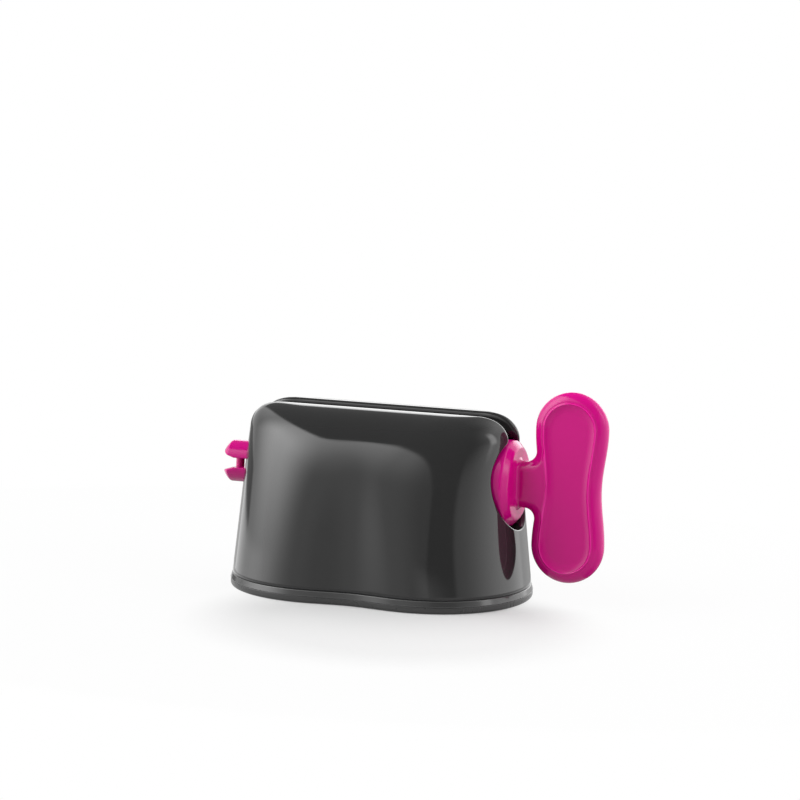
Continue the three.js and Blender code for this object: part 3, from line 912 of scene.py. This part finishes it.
# %% [markdown]
# ## Wiring nodes
# A material, a node group and the world are all trees of nodes. These helpers add one node at a time
# and fill or link its inputs in the same line, so that a tree can be read from top to bottom.

# %% Node helpers


def add_node(tree, kind, inputs=None, **settings):
    """A new node with its settings, and each listed input set to a value or linked to a socket."""
    node = tree.nodes.new(kind)
    for name, value in settings.items():
        setattr(node, name, value)
    for key, value in (inputs or {}).items():
        if isinstance(value, bpy.types.NodeSocket):
            tree.links.new(value, node.inputs[key])
        else:
            node.inputs[key].default_value = value
    return node


def maths(tree, operation, *values):
    """Output of a Math node that works on sockets or numbers."""
    node = add_node(tree, "ShaderNodeMath", dict(enumerate(values)), operation=operation)
    return node.outputs["Value"]


def vector_maths(tree, operation, *values):
    """Outputs of a Vector Math node that works on sockets or vectors."""
    node = add_node(tree, "ShaderNodeVectorMath", dict(enumerate(values)), operation=operation)
    return node.outputs


def ramp(tree, value, start, stop, first, last):
    """A smooth step of a socket, from one value at start to another at stop."""
    inputs = {"Value": value, "From Min": start, "From Max": stop, "To Min": first, "To Max": last}
    node = add_node(tree, "ShaderNodeMapRange", inputs, interpolation_type="SMOOTHSTEP")
    return node.outputs["Result"]


def grey(level):
    """A grey of that level, as an opaque colour."""
    return (level, level, level, 1)


print("white is", grey(1))

# %% [markdown]
# ## Finishes
# Polished plastic is never one even tone: the moulding leaves faint clouds in colour and sheen, use
# leaves fine hairlines, and some edges get a painted highlight line or a painted shade. These shared
# effects are built once as a node group and placed in each material with that material's own values;
# the shader itself stays in the material.

# %% Moulded-surface group
CLOUD_DETAIL = 4.0
HAIRLINE_STRETCH = (90.0, 1100.0, 160.0)
HAIRLINE_TURN = (0.3, 0.5, 0.4)
HAIRLINE_DETAIL = 2.0
GRAIN_DETAIL = 3.0
SHEEN_RANGE = (0.12, 0.42)
GROUP_INPUTS = {
    "Colour": "Color", "Cloud Colour": "Color", "Cloud Scale": "Float", "Smooth": "Float",
    "Rough": "Float", "Grain Scale": "Float", "Painted Edge Colour": "Color",
}
GROUP_OUTPUTS = {"Surface Colour": "Color", "Roughness": "Float", "Height": "Float"}


def noise(tree, where, scale, detail):
    """Values of a noise pattern of that scale and detail."""
    node = add_node(tree, "ShaderNodeTexNoise", {"Vector": where, "Scale": scale, "Detail": detail})
    return node.outputs["Fac"]


def colour_mix(tree, share, one, other):
    """Two colours mixed by a share."""
    inputs = {"Factor": share, "A": one, "B": other}
    return add_node(tree, "ShaderNodeMix", inputs, data_type="RGBA").outputs["Result"]


def moulded_group():
    """Node group: slow clouds mix two colours and two roughness values, stretched noise adds
    hairlines, the painted light-and-shade attribute mixes in the edge colour as painted highlight lines
    or painted shade, and fine noise is the surface grain."""
    group = bpy.data.node_groups.new("moulded_surface", "ShaderNodeTree")
    for name, kind in GROUP_INPUTS.items():
        group.interface.new_socket(name, in_out="INPUT", socket_type="NodeSocket" + kind)
    for name, kind in GROUP_OUTPUTS.items():
        group.interface.new_socket(name, in_out="OUTPUT", socket_type="NodeSocket" + kind)
    given = add_node(group, "NodeGroupInput").outputs
    where = add_node(group, "ShaderNodeTexCoord").outputs["Object"]
    # Share of painted edge light or shade, read from the attribute written on the pieces.
    painted_share = add_node(group, "ShaderNodeAttribute", attribute_name="painted_light_and_shade").outputs["Fac"]
    stretch = {"Vector": where, "Scale": HAIRLINE_STRETCH, "Rotation": HAIRLINE_TURN}
    stretched = add_node(group, "ShaderNodeMapping", stretch).outputs["Vector"]
    clouds = noise(group, where, given["Cloud Scale"], CLOUD_DETAIL)
    hairlines = noise(group, stretched, 1.0, HAIRLINE_DETAIL)
    grain = noise(group, where, given["Grain Scale"], GRAIN_DETAIL)
    tint = colour_mix(group, clouds, given["Colour"], given["Cloud Colour"])
    sheen = add_node(group, "ShaderNodeMapRange", {
        "Value": maths(group, "MULTIPLY", clouds, hairlines),
        "From Min": SHEEN_RANGE[0], "From Max": SHEEN_RANGE[1],
        "To Min": given["Smooth"], "To Max": given["Rough"],
    })
    add_node(group, "NodeGroupOutput", {
        "Surface Colour": colour_mix(group, painted_share, tint, given["Painted Edge Colour"]),
        "Roughness": sheen.outputs["Result"],
        "Height": grain,
    })
    return group


moulded = moulded_group()
print("group", moulded.name, len(moulded.nodes), "nodes")

# %% [markdown]
# ### Materials
# Shell and base are the same kind of polished plastic, the base a little duller, with painted highlight
# lines along its edges. The key's bead crest gets a painted highlight in a paler magenta. The sole is
# satin rubber whose foot gets a painted contact shade, and the hidden screws keep their solids and only
# get a steel finish.

# %% Materials
GRAIN_HEIGHT = 0.00002


def finish(name, colour, cloud, edge, sheen, cloud_scale, grain_scale, bump, metallic=0.0, ior=1.5):
    """A Principled material whose colour, roughness and fine height come from the moulded-surface
    group. The sheen gives its smoothest and its roughest value."""
    material = bpy.data.materials.new(name)
    material.use_nodes = True
    tree = material.node_tree
    surface = add_node(tree, "ShaderNodeGroup", node_tree=moulded)
    values = {
        "Colour": colour, "Cloud Colour": cloud, "Painted Edge Colour": edge, "Smooth": sheen[0],
        "Rough": sheen[1], "Cloud Scale": cloud_scale, "Grain Scale": grain_scale,
    }
    for socket, value in values.items():
        surface.inputs[socket].default_value = value
    height = {"Strength": bump, "Distance": GRAIN_HEIGHT, "Height": surface.outputs["Height"]}
    grain = add_node(tree, "ShaderNodeBump", height)
    shader = tree.nodes["Principled BSDF"]
    shader.inputs["Metallic"].default_value = metallic
    shader.inputs["IOR"].default_value = ior
    tree.links.new(surface.outputs["Surface Colour"], shader.inputs["Base Color"])
    tree.links.new(surface.outputs["Roughness"], shader.inputs["Roughness"])
    tree.links.new(grain.outputs["Normal"], shader.inputs["Normal"])
    return material


# The third colour of each finish is its painted edge colour: light lines on base and key, dark contact
# shade on the sole.
anthracite = finish("anthracite_plastic", grey(0.0155), grey(0.019), grey(0.06), sheen=(0.05, 0.09),
                    cloud_scale=70, grain_scale=2600, bump=0.02)
base_black = finish("base_plastic", grey(0.030), grey(0.036), grey(0.09), sheen=(0.09, 0.16),
                    cloud_scale=70, grain_scale=2600, bump=0.02)
magenta = finish("magenta_plastic", (0.495, 0.0014, 0.172, 1), (0.525, 0.0022, 0.188, 1),
                 (0.76, 0.02, 0.31, 1), sheen=(0.09, 0.15),
                 cloud_scale=90, grain_scale=2600, bump=0.02, ior=1.34)
rubber = finish("sole_rubber", grey(0.030), grey(0.038), grey(0.003), sheen=(0.24, 0.36),
                cloud_scale=120, grain_scale=900, bump=0.02)
steel = finish("screw_steel", (0.42, 0.43, 0.45, 1), (0.36, 0.37, 0.39, 1), (0.5, 0.51, 0.53, 1),
               sheen=(0.25, 0.42), cloud_scale=300, grain_scale=5000, bump=0.2, metallic=1.0)

coats = {
    anthracite: [shell, bearing, posts],
    base_black: [base],
    rubber: [sole],
    magenta: [grip, collar, rod, prongs, pin],
    steel: [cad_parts[f"base_screw_{number}"] for number in (1, 2, 3, 4)],
}
for coat, wearers in coats.items():
    for wearer in wearers:
        wearer.data.materials.clear()
        wearer.data.materials.append(coat)
print({coat.name: len(wearers) for coat, wearers in coats.items()})

# %% [markdown]
# ## Camera
# The viewing angle was found from the outlines of the shell and the key: the camera stands low, a little
# to the right of the front, about eight body lengths away. It looks past the object, because the object
# sits below the middle of the picture, so the aim is worked out from where the target should appear.

# %% Camera
VIEW_TURN = np.radians(20.055)
VIEW_RISE = np.radians(10.335)
VIEW_ROLL = np.radians(1.107)
FOCAL_PIXELS = 3233.84
PICTURE_PIXELS = 800
PIXELS_PER_MILLIMETRE = 4.14
SENSOR_WIDTH = 36.0
TARGET = np.array([0, 0, 25.0])
TARGET_PIXELS = np.array([382.98, 486.63])


def way_to(turn_angle, rise_angle):
    """Direction at an angle round from the front, to the right, and an angle above the floor."""
    level_part = np.cos(rise_angle)
    x, y = np.sin(turn_angle) * level_part, -np.cos(turn_angle) * level_part
    return np.array([x, y, np.sin(rise_angle)])


to_camera = way_to(VIEW_TURN, VIEW_RISE)
level_right = np.array([np.cos(VIEW_TURN), np.sin(VIEW_TURN), 0])
square_up = np.cross(to_camera, level_right)
rolled_right = level_right * np.cos(VIEW_ROLL) + square_up * np.sin(VIEW_ROLL)
rolled_up = square_up * np.cos(VIEW_ROLL) - level_right * np.sin(VIEW_ROLL)
right_pixels, up_pixels = (PICTURE_PIXELS / 2 - TARGET_PIXELS) * [1, -1]
forward = unit(-to_camera * FOCAL_PIXELS + rolled_right * right_pixels + rolled_up * up_pixels)
picture_right = unit(rolled_right - np.dot(rolled_right, forward) * forward)
picture_up = np.cross(picture_right, forward)
stand = (TARGET + FOCAL_PIXELS / PIXELS_PER_MILLIMETRE * to_camera) * MILLIMETRE

lens = bpy.data.cameras.new("camera")
lens.sensor_width = SENSOR_WIDTH
lens.lens = FOCAL_PIXELS / PICTURE_PIXELS * SENSOR_WIDTH
camera = bpy.data.objects.new("camera", lens)
pose = np.eye(4)
pose[:3] = np.column_stack([picture_right, picture_up, -forward, stand])
camera.matrix_world = Matrix(pose.tolist())
bpy.context.scene.collection.objects.link(camera)
bpy.context.scene.camera = camera
print("camera stands at", np.round(stand, 4), "m, lens", round(lens.lens, 1), "mm")

# %% [markdown]
# ## Floor
# A pale oval floor carries the soft shadow. It is made of two rings: the inner one, close to the
# object, also shows in mirror images, where it darkens towards the foot, and the outer one is left out
# of them so that its rim never shows in the polish.

# %% Floor rings
FLOOR_SIZE = np.array([0.20, 0.14])
FLOOR_LEVEL = -0.00004
MIRRORED_SHARE = 0.27
FLOOR_RINGS = 9
FLOOR_STEPS = 96
floor_turn = np.linspace(0, 2 * np.pi, FLOOR_STEPS, endpoint=False)[None, :]


def floor_ring(name, start, stop):
    """A flat oval ring between two shares of the floor's size."""
    share = np.linspace(start, stop, FLOOR_RINGS)[:, None]
    x = FLOOR_SIZE[0] * share * np.cos(floor_turn)
    y = FLOOR_SIZE[1] * share * np.sin(floor_turn)
    points, quads = skin_of(np.stack(np.broadcast_arrays(x, y, FLOOR_LEVEL), axis=-1), wrap=True)
    mesh = bpy.data.meshes.new(name)
    mesh.from_pydata(points.tolist(), [], quads.tolist())
    ring = bpy.data.objects.new(name, mesh)
    bpy.context.scene.collection.objects.link(ring)
    return ring


floor = floor_ring("floor", 0, MIRRORED_SHARE)
outer_floor = floor_ring("outer_floor", MIRRORED_SHARE, 1)
outer_floor.visible_glossy = False
print("floor", FLOOR_SIZE * 2, "m")

# %% [markdown]
# ### Floor paint
# Seen by the camera or in a mirror image the floor glows a little, so that where no shadow falls it is
# nearly as white as the surround. Outside an oval in front of the object, where the shadow lies, and
# towards the floor's rim it turns white altogether. To all other light it is an ordinary matt floor.

# %% Floor paint
FLOOR_GREY = 0.41
FLOOR_GLOW = 0.25
SHADE_MIDDLE = np.array([0.017, -0.037])
SHADE_SIZE = np.array([0.055, 0.047])
SHADE_FADE = (0.55, 1.0, 0.9)
RIM_FADE = (0.6, 0.95, 1.0)
floor_paint = bpy.data.materials.new("floor_paint")
floor_paint.use_nodes = True
paint = floor_paint.node_tree
paint.nodes.clear()
floor_place = add_node(paint, "ShaderNodeTexCoord").outputs["Object"]


def oval_fade(middle, size, start, stop, most):
    """Share of white: 0 inside an oval, rising smoothly to a most between two shares of its size."""
    shifted = vector_maths(paint, "SUBTRACT", floor_place, (*middle, 0))["Vector"]
    scaled = vector_maths(paint, "MULTIPLY", shifted, (*(1 / size), 0))["Vector"]
    return ramp(paint, vector_maths(paint, "LENGTH", scaled)["Value"], start, stop, 0.0, most)


rays = add_node(paint, "ShaderNodeLightPath").outputs
seen = maths(paint, "MAXIMUM", rays["Is Camera Ray"], rays["Is Glossy Ray"])
seen = maths(paint, "MAXIMUM", seen, rays["Is Transmission Ray"])
whiter = maths(paint, "MAXIMUM", oval_fade(SHADE_MIDDLE, SHADE_SIZE, *SHADE_FADE),
               oval_fade(np.zeros(2), FLOOR_SIZE, *RIM_FADE))
matt = add_node(paint, "ShaderNodeBsdfDiffuse", {"Color": grey(FLOOR_GREY)})
glow = add_node(paint, "ShaderNodeEmission", {"Strength": maths(paint, "MULTIPLY", seen, FLOOR_GLOW)})
lit = add_node(paint, "ShaderNodeAddShader", {0: matt.outputs["BSDF"], 1: glow.outputs["Emission"]})
white = add_node(paint, "ShaderNodeEmission", {"Strength": 1.0})
floor_mix = add_node(paint, "ShaderNodeMixShader", {
    0: maths(paint, "MULTIPLY", whiter, seen), 1: lit.outputs["Shader"], 2: white.outputs["Emission"],
})
add_node(paint, "ShaderNodeOutputMaterial", {"Surface": floor_mix.outputs["Shader"]})
for ring in (floor, outer_floor):
    ring.data.materials.append(floor_paint)
print("floor paint of", len(paint.nodes), "nodes")

# %% [markdown]
# ## Studio light
# Polished plastic is mostly what it mirrors, so the light is drawn as a studio around the object: soft
# panels in the world's background, each a window in the direction's turn and rise. Lamps and card
# would do the same in a real studio; in the world they cost no geometry and every panel is one line.

# %% Directions and panels
world = bpy.data.worlds.new("studio")
bpy.context.scene.world = world
world.use_nodes = True
sky = world.node_tree
sky.nodes.clear()
way = add_node(sky, "ShaderNodeTexCoord").outputs["Generated"]
way_parts = add_node(sky, "ShaderNodeSeparateXYZ", {"Vector": way}).outputs
turn = maths(sky, "ARCTAN2", way_parts["X"], maths(sky, "MULTIPLY", way_parts["Y"], -1.0))
rise = maths(sky, "ARCSINE", way_parts["Z"])


def product(first, *others):
    """Sockets or numbers multiplied together."""
    for other in others:
        first = maths(sky, "MULTIPLY", first, other)
    return first


def angle_ramp(angle, start, stop, first, last):
    """A smooth step of an angle between two values of it in degrees."""
    return ramp(sky, angle, np.radians(start), np.radians(stop), first, last)


def window(angle, middle, full, end):
    """1 up to a distance from a middle, the short way round, and 0 past another, in degrees."""
    away = maths(sky, "WRAP", maths(sky, "SUBTRACT", angle, np.radians(middle)), np.pi, -np.pi)
    return angle_ramp(maths(sky, "ABSOLUTE", away), full, end, 1.0, 0.0)


def soft_panel(level, turn_middle, turn_full, turn_end, rise_middle, rise_full, rise_end):
    """A panel of light: a level times a soft window in turn and one in rise."""
    across_part = window(turn, turn_middle, turn_full, turn_end)
    upright_part = window(rise, rise_middle, rise_full, rise_end)
    return product(across_part, upright_part, level)


print("studio starts with", len(sky.nodes), "nodes")

# %% [markdown]
# ### Wall
# The main light is a large pale wall at the left. Its edge runs down to the front in a bow, which the
# shell mirrors as the round corner of the light on its front. The wall is brightest at its middle, a
# little lighter high up, fades towards its right edge, and a dark strip crosses it at floor level.
# Each fade gives two angles and the values at them; the glow and the strip are rows as explained below.

# %% Wall
WALL_WAY = (0.856, 0.494, 0.076)
WALL_EDGE = -0.187
WALL_SOFT = 0.035
WALL_BEND = 0.683
WALL_BEND_MIDDLE = 0.3
WALL_BEND_FROM = -0.1
WALL_LEVEL = (-99, 1, 0.75, 0.53)
WALL_FADE = (-20, 12, 1.0, 0.45)
WALL_TOP = (22, 56, 0.0, 0.9)
WALL_GLOW = (3.6, -64.5, 4, 41, 38, 0, 74)
GLOW_FADE = (38, 62, 1.0, 0.55)
DARK_STRIP = (0.9, -143, 37, 42, -2.3, 2.7, 4.2)
past_edge = vector_maths(sky, "DOT_PRODUCT", way, WALL_WAY)["Value"]
off_bend = maths(sky, "MAXIMUM", way_parts["Z"], WALL_BEND_FROM)
off_bend = maths(sky, "SUBTRACT", off_bend, WALL_BEND_MIDDLE)
past_edge = maths(sky, "ADD", past_edge, product(off_bend, off_bend, WALL_BEND))
wall_mask = ramp(sky, past_edge, WALL_EDGE - WALL_SOFT, WALL_EDGE + WALL_SOFT, 1.0, 0.0)
wall_level = maths(sky, "ADD", angle_ramp(turn, *WALL_LEVEL), angle_ramp(rise, *WALL_TOP))
wall_level = product(wall_level, angle_ramp(turn, *WALL_FADE))
wall_glow = product(soft_panel(*WALL_GLOW), angle_ramp(rise, *GLOW_FADE))
lit_wall = product(wall_mask, maths(sky, "ADD", wall_level, wall_glow))
wall = product(lit_wall, maths(sky, "SUBTRACT", 1.0, soft_panel(*DARK_STRIP)))
print("with the wall", len(sky.nodes), "nodes")

# %% [markdown]
# ### Other panels
# Weak panels below stand for the bright floor further out, wide ones and a narrow bright strip at the
# right draw the light on the round end, and the panel behind whitens the lip of the slit. The camera
# itself sees plain white. Each row gives a level, then the turn's middle, full and end distance, and
# the same for the rise.

# %% Panels and background
PANELS = {
    "left floor": (0.55, -108, 25, 65, -40, 33, 35),
    "front floor": (0.45, 26, 14, 34, -48, 39, 43),
    "right, low": (0.42, 100, 50, 58, -10, 24, 48),
    "right, high": (1.3, 126, 12, 80, 25, 25, 58),
    "right strip": (2.4, 87, 3, 11, 36, 10, 28),
    "behind": (2.1, 188, 24, 42, 14, 10, 14),
}
AMBIENT = 0.18
STUDIO_LEVEL = 1.2
light = maths(sky, "ADD", wall, AMBIENT)
for panel_values in PANELS.values():
    light = maths(sky, "ADD", soft_panel(*panel_values), light)
room = add_node(sky, "ShaderNodeBackground", {"Color": grey(1), "Strength": product(light, STUDIO_LEVEL)})
plain = add_node(sky, "ShaderNodeBackground", {"Color": grey(1), "Strength": 1.0})
sky_rays = add_node(sky, "ShaderNodeLightPath").outputs
sky_mix = add_node(sky, "ShaderNodeMixShader", {
    0: maths(sky, "MAXIMUM", sky_rays["Is Camera Ray"], sky_rays["Is Transmission Ray"]),
    1: room.outputs["Background"], 2: plain.outputs["Background"],
})
add_node(sky, "ShaderNodeOutputWorld", {"Surface": sky_mix.outputs["Shader"]})
bpy.context.scene.view_settings.view_transform = "Standard"
print("studio of", len(sky.nodes), "nodes and", len(PANELS), "panels beside the wall")

# %% [markdown]
# ### Lamps
# Two round lamps, one high behind and one at the right, bring out the matt colour of the key and cast
# the shadow forwards. They are left out of mirror images, where the panels already stand.

# %% Lamps
LAMP_DISTANCE = 0.6
LAMP_SIZE = 0.35
LAMPS = {"back_lamp": (170, 58, 1.1), "side_lamp": (75, 30, 0.8)}


def lamp(name, turn_degrees, rise_degrees, power):
    """A round lamp in a direction, aimed at the object and left out of mirror images."""
    lamp_way = Vector(way_to(*np.radians([turn_degrees, rise_degrees])))
    bulb = bpy.data.lights.new(name, "AREA")
    bulb.shape = "DISK"
    bulb.size = LAMP_SIZE
    bulb.energy = power
    made = bpy.data.objects.new(name, bulb)
    made.location = lamp_way * LAMP_DISTANCE
    made.rotation_euler = lamp_way.to_track_quat("Z", "Y").to_euler()
    made.visible_glossy = False
    bpy.context.scene.collection.objects.link(made)
    return made


print("lamps", [lamp(name, *values).name for name, values in LAMPS.items()])
